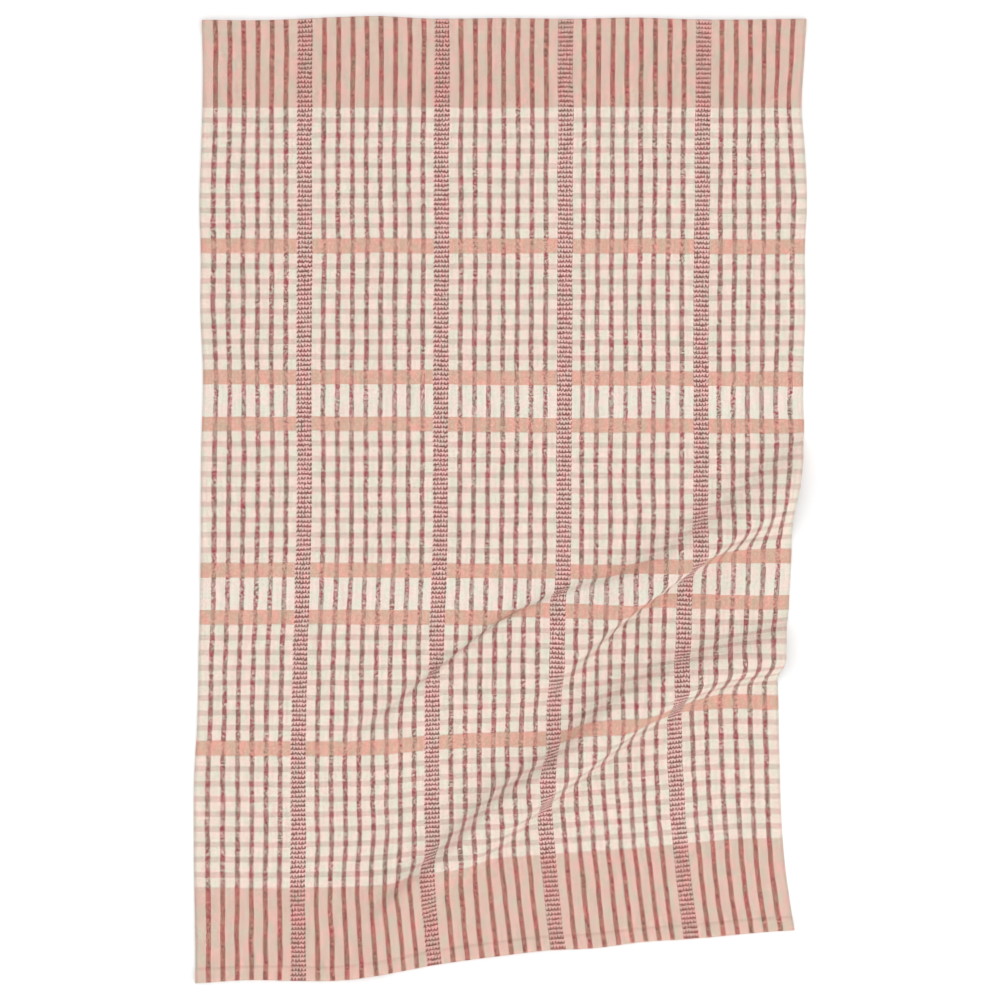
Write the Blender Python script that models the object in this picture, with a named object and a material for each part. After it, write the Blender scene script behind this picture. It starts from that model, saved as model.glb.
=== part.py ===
"""A woven tea towel, lying face up on a flat surface with two long folds pushed up across one corner.

Metres, +Z up. The towel rests on z = 0, its long side runs along Y, and the origin is under its middle.
"""

from collections import namedtuple

import bpy
import numpy as np

WIDTH = 0.500  # from selvedge to selvedge
LENGTH = 0.800  # from hem to hem
CLOTH_THICK = 0.0014
HEM_THICK = 0.0026  # three layers, pressed and stitched
HEM_DEPTH = 0.0095
HEM_SLOPE = 0.0008  # the hem's inner edge falls to the single cloth over this much

# The cloth lies a little out of square. The lower half has slid to the left and is drawn in, its stripes
# fan out again towards the lower hem, and the hem's right end is drawn up. Each is eased in over a span.
SIDE_DRIFT = 0.0055
SIDE_DRIFT_SPAN = (0.400, 0.190)
DRAWN_IN = 0.0026
DRAWN_IN_SPAN = (0.180, 0.330)
SAGGED = 0.0018
SAG_SPAN = (0.080, 0.500)
SPREAD = 0.0140
SPREAD_BELOW = 0.190
SPREAD_SPAN = (0.090, 0.290)
HEM_RISE = 0.0045
HEM_RISE_SPAN = (0.420, 0.500)

CLOTH_COLOUR = (0.72, 0.55, 0.46, 1.0)

COLUMNS = 36  # mesh steps across the cloth
FACE_ROWS = (-0.2, 0.0, 0.2, 0.45, 0.75, 1.05, 1.3)  # mesh rows along a fold's face, as shares of its width
RIDGE_ROWS = 2
BACK_ROWS = (1.3, 1.05, 0.85, 0.65, 0.45, 0.1)  # and along its back's step
ROWS_BELOW, ROWS_BETWEEN, ROWS_ABOVE = 5, 3, 10  # below, between and above the folds
LOWER_FLOOR, LOWER_FLOOR_STEP = 0.020, 0.0065  # the least v of a fold's first row, and what each next adds
UPPER_FLOOR, UPPER_FLOOR_STEP = 0.150, 0.0075
LEAST_ROW_GAP = 0.0012
FLOOR_BLEND = 0.020  # how softly the rows turn level where a fold has died out

# One row for each section through a fold, from where the fold begins to the right selvedge. Places are on
# the flat cloth: u runs from the left selvedge, v from the lower hem. At each u the cloth starts to gather
# at back_v, climbs a low step late in a width `step` below it, rises on to its crest, and drops over a steep
# face of width `face` to its foot at face_v. The last four columns say how far the cloth has moved to the
# left and up past the step, and past the face.
SECTION_COLUMNS = "u back_v step step_rise face_v face crest back_left back_up face_left face_up"
Section = namedtuple("Section", SECTION_COLUMNS)
UPPER_FOLD = [Section(*row) for row in (
    (0.100, 0.194, 0.012, 0.0000, 0.130, 0.040, 0.000, 0.0000, 0.0000, 0.0000, 0.0000),
    (0.150, 0.226, 0.012, 0.0030, 0.160, 0.040, 0.003, 0.0010, 0.0010, 0.0000, 0.0003),
    (0.200, 0.264, 0.012, 0.0058, 0.190, 0.035, 0.006, 0.0030, 0.0050, 0.0000, 0.0010),
    (0.250, 0.302, 0.012, 0.0048, 0.205, 0.030, 0.009, 0.0030, 0.0065, 0.0005, 0.0015),
    (0.300, 0.328, 0.014, 0.0066, 0.230, 0.018, 0.012, 0.0030, 0.0060, 0.0017, 0.0035),
    (0.350, 0.345, 0.015, 0.0070, 0.273, 0.018, 0.015, 0.0015, 0.0055, 0.0070, 0.0085),
    (0.400, 0.380, 0.018, 0.0115, 0.311, 0.020, 0.018, 0.0005, 0.0045, 0.0110, 0.0105),
    (0.450, 0.426, 0.024, 0.0086, 0.341, 0.028, 0.019, 0.0000, 0.0040, 0.0105, 0.0100),
    (0.500, 0.465, 0.024, 0.0086, 0.356, 0.050, 0.019, 0.0020, 0.0035, 0.0073, 0.0100),
)]
LOWER_FOLD = [Section(*row) for row in (
    (0.100, 0.030, 0.020, 0.0000, -0.060, 0.030, 0.000, 0.0000, 0.0005, 0.0000, 0.0000),
    (0.150, 0.070, 0.020, 0.0040, -0.010, 0.030, 0.004, 0.0015, 0.0044, 0.0000, 0.0010),
    (0.200, 0.108, 0.022, 0.0105, 0.045, 0.022, 0.013, 0.0045, 0.0074, 0.0020, 0.0020),
    (0.250, 0.154, 0.024, 0.0100, 0.078, 0.022, 0.015, 0.0060, 0.0085, 0.0032, 0.0070),
    (0.300, 0.187, 0.024, 0.0130, 0.114, 0.022, 0.017, 0.0050, 0.0080, 0.0050, 0.0108),
    (0.350, 0.234, 0.024, 0.0140, 0.148, 0.024, 0.018, 0.0010, 0.0055, 0.0055, 0.0130),
    (0.400, 0.258, 0.024, 0.0072, 0.179, 0.028, 0.018, 0.0010, 0.0070, 0.0055, 0.0140),
    (0.450, 0.277, 0.028, 0.0070, 0.200, 0.031, 0.018, 0.0010, 0.0105, 0.0075, 0.0160),
    (0.500, 0.297, 0.030, 0.0084, 0.213, 0.032, 0.016, 0.0015, 0.0105, 0.0072, 0.0160),
)]
CLIMB_START, CLIMB_SHARE = 0.45, 0.60  # where in the step's width the climb begins, and how much it takes

# The edges stray a little, and the cloth near them with them. One row for each place along an edge: u is
# measured from its left or lower end, and off is how far the edge lies to the right or up there.
EDGE_REACH = 0.045
Stray = namedtuple("Stray", "u off")
LEFT_EDGE = [Stray(*row) for row in (
    (0.000, 0.0000),
    (0.030, 0.0000),
    (0.097, -0.0012),
    (0.175, -0.0008),
    (0.213, 0.0012),
    (0.279, 0.0007),
    (0.430, -0.0010),
    (0.511, 0.0007),
    (0.550, -0.0013),
    (0.610, -0.0012),
    (0.644, -0.0021),
    (0.700, -0.0004),
    (0.744, 0.0006),
    (0.800, 0.0000),
)]
RIGHT_EDGE = [Stray(*row) for row in (
    (0.000, 0.0000),
    (0.060, -0.0008),
    (0.160, 0.0009),
    (0.200, 0.0006),
    (0.230, -0.0010),
    (0.300, 0.0000),
    (0.355, 0.0005),
    (0.389, -0.0028),
    (0.437, 0.0014),
    (0.490, 0.0000),
    (0.560, 0.0012),
    (0.611, 0.0003),
    (0.644, 0.0017),
    (0.690, -0.0004),
    (0.727, -0.0034),
    (0.765, -0.0014),
    (0.800, 0.0004),
)]
LOWER_EDGE = [Stray(*row) for row in (
    (0.000, -0.0006),
    (0.043, 0.0021),
    (0.083, 0.0014),
    (0.122, 0.0010),
    (0.150, -0.0001),
    (0.210, -0.0004),
    (0.250, -0.0011),
    (0.290, 0.0000),
    (0.330, -0.0013),
    (0.375, 0.0011),
    (0.415, 0.0006),
    (0.455, -0.0008),
    (0.500, 0.0006),
)]
UPPER_EDGE = [Stray(*row) for row in (
    (0.000, -0.0019),
    (0.043, -0.0023),
    (0.083, -0.0010),
    (0.109, 0.0003),
    (0.149, 0.0012),
    (0.178, -0.0005),
    (0.255, -0.0005),
    (0.308, -0.0010),
    (0.348, -0.0001),
    (0.421, -0.0018),
    (0.500, -0.0009),
)]
MIDDLE_U, MIDDLE_V = 0.2469, 0.4003  # what lies over the origin

FOOT_ROUNDING = 0.10  # share of a slope's width over which its foot is rounded
LEAST_RIDGE = 0.005  # keeps the rise to the crest finite where a fold has died out


def ease(q):
    """0 to 1 as q goes from 0 to 1, level at both ends."""
    q = np.clip(q, 0.0, 1.0)
    return q * q * (3.0 - 2.0 * q)


def ramp(q):
    """0 to 1 as q goes from 0 to 1, nearly straight, so that a steep face stays even."""
    q = np.clip(q, 0.0, 1.0)
    return q - 0.25 * np.sin(2.0 * np.pi * q) / (2.0 * np.pi)


def along(fold, name, u):
    """One column of a table at each u: a cubic through its rows, with slopes from the rows beside."""
    places = np.array([section.u for section in fold])
    values = np.array([getattr(section, name) for section in fold])
    slopes = np.gradient(values, places)
    low = np.clip(np.searchsorted(places, u) - 1, 0, len(fold) - 2)
    width = places[low + 1] - places[low]
    share = (u - places[low]) / width
    q = np.clip(share, 0.0, 1.0)
    start_slope, end_slope = width * slopes[low], width * slopes[low + 1]
    curve = values[low] + (values[low + 1] - values[low]) * q * q * (3.0 - 2.0 * q)
    curve = curve + start_slope * q * (1.0 - q) ** 2 - end_slope * q * q * (1.0 - q)
    return curve + start_slope * np.minimum(share, 0.0) + end_slope * np.maximum(share - 1.0, 0.0)


def square_to(fold, name, u):
    """What turns a distance along v into one square to a fold's line: the cosine of the line's slope."""
    step = 0.001
    slope = (along(fold, name, u + step) - along(fold, name, u)) / step
    return 1.0 / np.hypot(1.0, slope)


def swell(q):
    """A quarter sine from 0 to 1 as q goes from 0 to 1, with a rounded foot."""
    rounded = 0.5 * (q + np.hypot(q, FOOT_ROUNDING))
    return np.sin(0.5 * np.pi * np.clip(rounded, 0.0, 1.0))


def lay_fold(fold, u, v):
    """How one fold moves each point: up by its step and crest times its face, and left and up the table."""
    step, step_rise = along(fold, "step", u), along(fold, "step_rise", u)
    face, crest = along(fold, "face", u), along(fold, "crest", u)
    below_back = (along(fold, "back_v", u) - v) * square_to(fold, "back_v", u)
    above_foot = (v - along(fold, "face_v", u)) * square_to(fold, "face_v", u)
    ridge = np.maximum(below_back + above_foot - face, LEAST_RIDGE)
    begun = ease((u - fold[0].u) / (fold[1].u - fold[0].u))
    climb = swell((below_back / step - CLIMB_START) / CLIMB_SHARE)
    height = step_rise * climb + (crest - step_rise) * ease(below_back / ridge)

    past_step = begun * ramp(below_back / step)
    past_face = begun * (1.0 - ramp(above_foot / face))
    dx = -past_step * along(fold, "back_left", u) - past_face * along(fold, "face_left", u)
    dy = past_step * along(fold, "back_up", u) + past_face * along(fold, "face_up", u)
    return dx, dy, begun * height * swell(above_foot / face)


def near(distance):
    """1 at an edge, and down to 0 at the reach of its straying."""
    return 1.0 - ease(distance / EDGE_REACH)


def over(span, place):
    """0 to 1 as a place goes from one end of a span to the other."""
    return ease((place - span[0]) / (span[1] - span[0]))


def lay_cloth(u, v):
    """Where each point of the flat cloth lies: its underside, with the origin under the towel's middle."""
    down = ease((LENGTH - v) / (0.5 * LENGTH))
    near_hem = np.clip(1.0 - v / SPREAD_BELOW, 0.0, 1.0)
    x = u - SIDE_DRIFT * over(SIDE_DRIFT_SPAN, v) - DRAWN_IN * down * over(DRAWN_IN_SPAN, v) * u / WIDTH
    x = x + SPREAD * near_hem**2 * over(SPREAD_SPAN, u)
    y = v - SAGGED * down * over(SAG_SPAN, u) + HEM_RISE * near_hem * over(HEM_RISE_SPAN, u)
    z = np.zeros_like(u)
    for fold in (UPPER_FOLD, LOWER_FOLD):
        dx, dy, dz = lay_fold(fold, u, v)
        x, y, z = x + dx, y + dy, z + dz
    x = x + near(u) * along(LEFT_EDGE, "off", v) + near(WIDTH - u) * along(RIGHT_EDGE, "off", v)
    y = y + near(v) * along(LOWER_EDGE, "off", u) + near(LENGTH - v) * along(UPPER_EDGE, "off", u)
    return x - MIDDLE_U, y - MIDDLE_V, z


def between(low, high, steps):
    """Evenly spaced rows between two rows, without them."""
    return [low + (high - low) * step / steps for step in range(1, steps)]


def fold_rows(fold, u, floor, floor_step):
    """Mesh rows that run along a fold, each kept above a level of its own and above the row before it."""
    face, step = (along(fold, name, u) for name in ("face", "step"))
    foot, back = (along(fold, name, u) for name in ("face_v", "back_v"))
    lines = [foot + share * face / square_to(fold, "face_v", u) for share in FACE_ROWS]
    backs = [back - share * step / square_to(fold, "back_v", u) for share in BACK_ROWS]
    rows = [np.full_like(u, floor)]
    for number, line in enumerate(lines + between(lines[-1], backs[0], RIDGE_ROWS) + backs):
        least = floor + floor_step * number
        row = 0.5 * (line + least + np.hypot(line - least, FLOOR_BLEND))
        rows.append(np.maximum(row, rows[-1] + LEAST_ROW_GAP))
    return rows[1:]


def cloth_rows(u):
    """The flat v of every mesh row at each u, from the lower hem to the upper one."""
    level = np.zeros_like(u)
    lower_hem = [level, level + HEM_DEPTH, level + HEM_DEPTH + HEM_SLOPE]
    upper_hem = [LENGTH - row for row in reversed(lower_hem)]
    lower = fold_rows(LOWER_FOLD, u, LOWER_FLOOR, LOWER_FLOOR_STEP)
    upper = fold_rows(UPPER_FOLD, u, UPPER_FLOOR, UPPER_FLOOR_STEP)
    return np.array(
        lower_hem
        + between(lower_hem[-1], lower[0], ROWS_BELOW)
        + lower
        + between(lower[-1], upper[0], ROWS_BETWEEN)
        + upper
        + between(upper[-1], upper_hem[0], ROWS_ABOVE)
        + upper_hem
    )


def fabric():
    """One matt colour: the mean of the cream, rose and peach yarns."""
    material = bpy.data.materials.new("woven_cotton")
    material.use_nodes = True
    surface = material.node_tree.nodes["Principled BSDF"]
    surface.inputs["Base Color"].default_value = CLOTH_COLOUR
    surface.inputs["Roughness"].default_value = 0.9
    surface.inputs["Metallic"].default_value = 0.0
    return material


def build_cloth():
    """The underside as one sheet of quads, then thickened upwards, and more so at the hems."""
    u = np.linspace(0.0, WIDTH, COLUMNS + 1)
    rows = cloth_rows(u)
    x, y, z = lay_cloth(np.broadcast_to(u, rows.shape), rows)
    points = np.stack([x, y, z], axis=-1).reshape(-1, 3)

    index = np.arange(rows.size).reshape(rows.shape)
    corners = index[:-1, :-1], index[:-1, 1:], index[1:, 1:], index[1:, :-1]
    faces = np.stack(corners, axis=-1).reshape(-1, 4)
    mesh = bpy.data.meshes.new("towel_cloth")
    mesh.from_pydata(points.tolist(), [], faces.tolist())
    mesh.materials.append(fabric())

    cloth = bpy.data.objects.new("towel_cloth", mesh)
    bpy.context.scene.collection.objects.link(cloth)
    hem = cloth.vertex_groups.new(name="hem")
    hem.add(np.concatenate([index[:2].ravel(), index[-2:].ravel()]).tolist(), 1.0, "REPLACE")

    thick = cloth.modifiers.new("cloth thickness", "SOLIDIFY")
    thick.thickness = HEM_THICK
    thick.offset = 1.0
    thick.vertex_group = hem.name
    thick.thickness_vertex_group = CLOTH_THICK / HEM_THICK
    return cloth


for old in list(bpy.data.objects):
    bpy.data.objects.remove(old, do_unlink=True)
build_cloth()
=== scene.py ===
"""A woven cotton tea towel, laid face up on a pale table top with two long folds across one corner.

Metres, +Z up. The towel's long side runs along Y with the lower hem at its low end. The table is z = 0.
"""

from collections import namedtuple

import bpy
import numpy as np
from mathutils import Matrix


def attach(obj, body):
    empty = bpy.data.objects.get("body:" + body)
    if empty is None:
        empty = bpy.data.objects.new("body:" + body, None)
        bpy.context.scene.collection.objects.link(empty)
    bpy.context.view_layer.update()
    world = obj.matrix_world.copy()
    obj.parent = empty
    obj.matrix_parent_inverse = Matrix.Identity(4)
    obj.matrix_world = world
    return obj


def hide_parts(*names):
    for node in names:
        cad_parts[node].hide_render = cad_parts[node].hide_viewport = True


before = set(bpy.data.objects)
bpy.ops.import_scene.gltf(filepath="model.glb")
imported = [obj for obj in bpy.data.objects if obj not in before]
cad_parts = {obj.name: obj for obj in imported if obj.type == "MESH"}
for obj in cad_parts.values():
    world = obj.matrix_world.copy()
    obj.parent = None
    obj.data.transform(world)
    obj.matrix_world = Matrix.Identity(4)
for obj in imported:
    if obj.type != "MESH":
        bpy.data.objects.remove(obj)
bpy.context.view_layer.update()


# --- Table top, light and camera ---
# A plain pale top under broad studio light. The main light stands off the towel's lower right corner, low
# enough to model the folds, and the camera hangs 2.5 m above the towel's middle, looking straight down.

CAMERA_HEIGHT = 2.5
CAMERA_SHIFT_X, CAMERA_SHIFT_Y = -0.0002, -0.0002
SENSOR_WIDTH = 0.036
PHOTO_PIXELS = 1000
PIXEL_ON_TABLE = 0.0008295
VIEW_WIDTH = PHOTO_PIXELS * PIXEL_ON_TABLE

camera_data = bpy.data.cameras.new("camera")
camera_data.sensor_width = 1000.0 * SENSOR_WIDTH
camera_data.lens = camera_data.sensor_width * CAMERA_HEIGHT / VIEW_WIDTH
camera = bpy.data.objects.new("camera", camera_data)
camera.location = (CAMERA_SHIFT_X, CAMERA_SHIFT_Y, CAMERA_HEIGHT)
bpy.context.scene.collection.objects.link(camera)
bpy.context.scene.camera = camera
bpy.context.scene.view_settings.view_transform = "Standard"

TABLE_SIDE = 8.0
TABLE_COLOUR = (0.97, 0.97, 0.97, 1.0)
SKY_STRENGTH = 0.89


def make_table():
    """One flat square, seen as the pale ground all round the towel."""
    half = 0.5 * TABLE_SIDE
    mesh = bpy.data.meshes.new("table_top")
    corners = [(-half, -half, 0.0), (half, -half, 0.0), (half, half, 0.0), (-half, half, 0.0)]
    mesh.from_pydata(corners, [], [(0, 1, 2, 3)])
    material = bpy.data.materials.new("pale_table")
    material.use_nodes = True
    surface = material.node_tree.nodes["Principled BSDF"]
    surface.inputs["Base Color"].default_value = TABLE_COLOUR
    surface.inputs["Roughness"].default_value = 0.8
    mesh.materials.append(material)
    table = bpy.data.objects.new("table_top", mesh)
    bpy.context.scene.collection.objects.link(table)


def add_light(name, place, size, power):
    """A square area light at a place, turned to face the towel's middle."""
    data = bpy.data.lights.new(name, "AREA")
    data.size = size
    data.energy = power
    light = bpy.data.objects.new(name, data)
    light.location = place
    light.rotation_euler = light.location.to_track_quat("Z", "Y").to_euler()
    bpy.context.scene.collection.objects.link(light)


make_table()
add_light("key_light", place=(1.6, -1.9, 1.7), size=1.6, power=20.0)
add_light("top_light", place=(-0.4, 0.5, 3.2), size=3.0, power=15.0)
world = bpy.data.worlds.new("studio")
world.use_nodes = True
world.node_tree.nodes["Background"].inputs["Color"].default_value = (1.0, 1.0, 1.0, 1.0)
world.node_tree.nodes["Background"].inputs["Strength"].default_value = SKY_STRENGTH
bpy.context.scene.world = world


# --- How the cloth lies ---
# One length of cloth from selvedge to selvedge. It lies flat but for two long folds that run up to the
# right, each a ridge with a soft back and a short face, and for faint creases left from being put away.

WIDTH = 0.500
LENGTH = 0.800

SIDE_DRIFT = 0.0055  # the whole lower half has slid this far to the left, eased in over a span of v
SIDE_DRIFT_SPAN = (0.400, 0.190)
DRAWN_IN = 0.0026  # the right selvedge is drawn in, most of all half-way up
DRAWN_IN_SPAN = (0.180, 0.330)
SAGGED = 0.0018  # the right side lies further down, below half-way
SAG_SPAN = (0.080, 0.500)
SPREAD = 0.0140  # towards the lower hem the stripes fan out to the right again
SPREAD_BELOW = 0.190
SPREAD_SPAN = (0.090, 0.290)
HEM_RISE = 0.0045  # and the lower hem turns up at its right end
HEM_RISE_SPAN = (0.420, 0.500)

# One row for each section through a fold, from where the fold begins to the right selvedge. Places are on
# the flat cloth: u runs from the left selvedge, v from the lower hem. At each u the cloth starts to gather
# at back_v, climbs a low step late in a width `step` below it, rises on to its crest, and drops over a steep
# face of width `face` to its foot at face_v. The last four columns say how far the cloth has moved to the
# left and up past the step, and past the face.
SECTION_COLUMNS = "u back_v step step_rise face_v face crest back_left back_up face_left face_up"
Section = namedtuple("Section", SECTION_COLUMNS)
UPPER_FOLD = [Section(*row) for row in (
    (0.100, 0.194, 0.012, 0.0000, 0.130, 0.040, 0.000, 0.0000, 0.0000, 0.0000, 0.0000),
    (0.150, 0.226, 0.012, 0.0030, 0.160, 0.040, 0.003, 0.0010, 0.0010, 0.0000, 0.0003),
    (0.200, 0.264, 0.012, 0.0058, 0.190, 0.035, 0.006, 0.0030, 0.0050, 0.0000, 0.0010),
    (0.250, 0.302, 0.012, 0.0048, 0.205, 0.030, 0.009, 0.0030, 0.0065, 0.0005, 0.0015),
    (0.300, 0.328, 0.014, 0.0066, 0.230, 0.018, 0.012, 0.0030, 0.0060, 0.0017, 0.0035),
    (0.350, 0.345, 0.015, 0.0070, 0.273, 0.018, 0.015, 0.0015, 0.0055, 0.0070, 0.0085),
    (0.400, 0.380, 0.018, 0.0115, 0.311, 0.020, 0.018, 0.0005, 0.0045, 0.0110, 0.0105),
    (0.450, 0.426, 0.024, 0.0086, 0.341, 0.028, 0.019, 0.0000, 0.0040, 0.0105, 0.0100),
    (0.500, 0.465, 0.024, 0.0086, 0.356, 0.050, 0.019, 0.0020, 0.0035, 0.0073, 0.0100),
)]
LOWER_FOLD = [Section(*row) for row in (
    (0.100, 0.030, 0.020, 0.0000, -0.060, 0.030, 0.000, 0.0000, 0.0005, 0.0000, 0.0000),
    (0.150, 0.070, 0.020, 0.0040, -0.010, 0.030, 0.004, 0.0015, 0.0044, 0.0000, 0.0010),
    (0.200, 0.108, 0.022, 0.0105, 0.045, 0.022, 0.013, 0.0045, 0.0074, 0.0020, 0.0020),
    (0.250, 0.154, 0.024, 0.0100, 0.078, 0.022, 0.015, 0.0060, 0.0085, 0.0032, 0.0070),
    (0.300, 0.187, 0.024, 0.0130, 0.114, 0.022, 0.017, 0.0050, 0.0080, 0.0050, 0.0108),
    (0.350, 0.234, 0.024, 0.0140, 0.148, 0.024, 0.018, 0.0010, 0.0055, 0.0055, 0.0130),
    (0.400, 0.258, 0.024, 0.0072, 0.179, 0.028, 0.018, 0.0010, 0.0070, 0.0055, 0.0140),
    (0.450, 0.277, 0.028, 0.0070, 0.200, 0.031, 0.018, 0.0010, 0.0105, 0.0075, 0.0160),
    (0.500, 0.297, 0.030, 0.0084, 0.213, 0.032, 0.016, 0.0015, 0.0105, 0.0072, 0.0160),
)]
CLIMB_START, CLIMB_SHARE = 0.45, 0.60  # where in the step's width the climb begins, and how much it takes

# The edges stray a little, and the cloth near them with them. One row for each place along an edge: u is
# measured from its left or lower end, and off is how far the edge lies to the right or up there.
EDGE_REACH = 0.045  # how far in from an edge
Stray = namedtuple("Stray", "u off")
LEFT_EDGE = [Stray(*row) for row in (
    (0.000, 0.0000),
    (0.030, 0.0000),
    (0.097, -0.0012),
    (0.175, -0.0008),
    (0.213, 0.0012),
    (0.279, 0.0007),
    (0.430, -0.0010),
    (0.511, 0.0007),
    (0.550, -0.0013),
    (0.610, -0.0012),
    (0.644, -0.0021),
    (0.700, -0.0004),
    (0.744, 0.0006),
    (0.800, 0.0000),
)]
RIGHT_EDGE = [Stray(*row) for row in (
    (0.000, 0.0000),
    (0.060, -0.0008),
    (0.160, 0.0009),
    (0.200, 0.0006),
    (0.230, -0.0010),
    (0.300, 0.0000),
    (0.355, 0.0005),
    (0.389, -0.0028),
    (0.437, 0.0014),
    (0.490, 0.0000),
    (0.560, 0.0012),
    (0.611, 0.0003),
    (0.644, 0.0017),
    (0.690, -0.0004),
    (0.727, -0.0034),
    (0.765, -0.0014),
    (0.800, 0.0004),
)]
LOWER_EDGE = [Stray(*row) for row in (
    (0.000, -0.0006),
    (0.043, 0.0021),
    (0.083, 0.0014),
    (0.122, 0.0010),
    (0.150, -0.0001),
    (0.210, -0.0004),
    (0.250, -0.0011),
    (0.290, 0.0000),
    (0.330, -0.0013),
    (0.375, 0.0011),
    (0.415, 0.0006),
    (0.455, -0.0008),
    (0.500, 0.0006),
)]
UPPER_EDGE = [Stray(*row) for row in (
    (0.000, -0.0019),
    (0.043, -0.0023),
    (0.083, -0.0010),
    (0.109, 0.0003),
    (0.149, 0.0012),
    (0.178, -0.0005),
    (0.255, -0.0005),
    (0.308, -0.0010),
    (0.348, -0.0001),
    (0.421, -0.0018),
    (0.500, -0.0009),
)]
MIDDLE_U, MIDDLE_V = 0.2469, 0.4003  # what lies over the origin

# Where the weave is pulled sideways inside the outline. One row for each such place: its middle, how far the
# pull reaches across and along, and how far it takes the yarns to the right.
Pull = namedtuple("Pull", "u v reach_u reach_v right")
PULLS = [Pull(*row) for row in (
    (0.160, 0.078, 0.090, 0.055, -0.0032),
    (0.155, 0.000, 0.085, 0.035, 0.0014),
)]

FOOT_ROUNDING = 0.10  # share of a slope's width over which its foot is rounded
RAMP_ROUNDING = 0.25  # 0 would leave a ramp straight, and 1 level at both ends
LEAST_RIDGE = 0.005  # keeps the rise to the crest finite where a fold has died out
CREASE_FADE = 1.0 / 3.0  # share of a crease's length over which either end dies away
PHASE_RATIO = 1.7  # of a ripple's wave along the cloth to its wave across

# One row for each crease: the flat places of its two ends, how far it bows to the left of the way from the
# first to the second, its height, and its widths on the right-hand and left-hand side of that way.
Crease = namedtuple("Crease", "u0 v0 u1 v1 bow height right left")
CREASES = [Crease(*row) for row in (
    (0.033, 0.692, 0.113, 0.792, -0.004, 0.0012, 0.016, 0.007),
    (0.218, 0.712, 0.290, 0.754, 0.006, 0.0014, 0.018, 0.008),
    (0.205, 0.670, 0.330, 0.688, 0.002, 0.0009, 0.012, 0.007),
    (0.225, 0.585, 0.268, 0.602, 0.002, 0.0009, 0.014, 0.008),
    (0.433, 0.590, 0.476, 0.745, -0.010, 0.0010, 0.014, 0.010),
    (0.400, 0.772, 0.460, 0.768, 0.000, 0.0008, 0.012, 0.008),
    (0.300, 0.700, 0.362, 0.752, 0.004, 0.0009, 0.016, 0.012),
    (0.205, 0.095, 0.335, 0.190, 0.000, 0.0012, 0.014, 0.009),
    (0.432, 0.236, 0.500, 0.252, 0.001, 0.0016, 0.010, 0.010),
    (0.452, 0.145, 0.492, 0.158, 0.001, 0.0010, 0.010, 0.007),
    (0.432, 0.420, 0.478, 0.475, 0.003, 0.0008, 0.010, 0.008),
    (0.120, 0.020, 0.148, 0.062, 0.003, 0.0014, 0.012, 0.010),
    (0.060, 0.010, 0.085, 0.080, 0.002, 0.0010, 0.012, 0.010),
    (0.128, 0.190, 0.132, 0.260, 0.002, 0.0009, 0.010, 0.008),
    (0.320, 0.020, 0.345, 0.085, 0.002, 0.0009, 0.012, 0.008),
    (0.462, 0.008, 0.482, 0.060, 0.002, 0.0009, 0.010, 0.010),
)]

# The cloth is never pressed quite flat. One row for each set of low waves: its lengths across and along, the
# angle that it is turned by, its phase and its height.
Ripple = namedtuple("Ripple", "long_u long_v turn phase height")
RIPPLES = [Ripple(*row) for row in (
    (0.150, 0.210, 0.3, 0.5, 0.00035),
    (0.070, 0.110, 1.1, 2.1, 0.00022),
    (0.036, 0.048, 2.0, 4.0, 0.00012),
)]


def ease(q):
    """0 to 1 as q goes from 0 to 1, level at both ends."""
    q = np.clip(q, 0.0, 1.0)
    return q * q * (3.0 - 2.0 * q)


def ramp(q):
    """0 to 1 as q goes from 0 to 1, nearly straight, so that a steep face stays even."""
    q = np.clip(q, 0.0, 1.0)
    return q - RAMP_ROUNDING * np.sin(2.0 * np.pi * q) / (2.0 * np.pi)


def along(table, name, u):
    """One column of a table at each u: a cubic through its rows, with slopes from the rows beside."""
    places = np.array([row.u for row in table])
    values = np.array([getattr(row, name) for row in table])
    slopes = np.gradient(values, places)
    low = np.clip(np.searchsorted(places, u) - 1, 0, len(table) - 2)
    width = places[low + 1] - places[low]
    share = (u - places[low]) / width
    q = np.clip(share, 0.0, 1.0)
    start_slope, end_slope = width * slopes[low], width * slopes[low + 1]
    curve = values[low] + (values[low + 1] - values[low]) * q * q * (3.0 - 2.0 * q)
    curve = curve + start_slope * q * (1.0 - q) ** 2 - end_slope * q * q * (1.0 - q)
    return curve + start_slope * np.minimum(share, 0.0) + end_slope * np.maximum(share - 1.0, 0.0)


def square_to(fold, name, u):
    """What turns a distance along v into one square to a fold's line: the cosine of the line's slope."""
    step = 0.001
    slope = (along(fold, name, u + step) - along(fold, name, u)) / step
    return 1.0 / np.hypot(1.0, slope)


def swell(q):
    """A quarter sine from 0 to 1 as q goes from 0 to 1, with a rounded foot."""
    rounded = 0.5 * (q + np.hypot(q, FOOT_ROUNDING))
    return np.sin(0.5 * np.pi * np.clip(rounded, 0.0, 1.0))


def lay_fold(fold, u, v):
    """How one fold moves each point: up by its step and crest times its face, and left and up the table."""
    step, step_rise = along(fold, "step", u), along(fold, "step_rise", u)
    face, crest = along(fold, "face", u), along(fold, "crest", u)
    below_back = (along(fold, "back_v", u) - v) * square_to(fold, "back_v", u)
    above_foot = (v - along(fold, "face_v", u)) * square_to(fold, "face_v", u)
    ridge = np.maximum(below_back + above_foot - face, LEAST_RIDGE)
    begun = ease((u - fold[0].u) / (fold[1].u - fold[0].u))
    climb = swell((below_back / step - CLIMB_START) / CLIMB_SHARE)
    height = step_rise * climb + (crest - step_rise) * ease(below_back / ridge)

    past_step = begun * ramp(below_back / step)
    past_face = begun * (1.0 - ramp(above_foot / face))
    dx = -past_step * along(fold, "back_left", u) - past_face * along(fold, "face_left", u)
    dy = past_step * along(fold, "back_up", u) + past_face * along(fold, "face_up", u)
    return dx, dy, begun * height * swell(above_foot / face)


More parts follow.
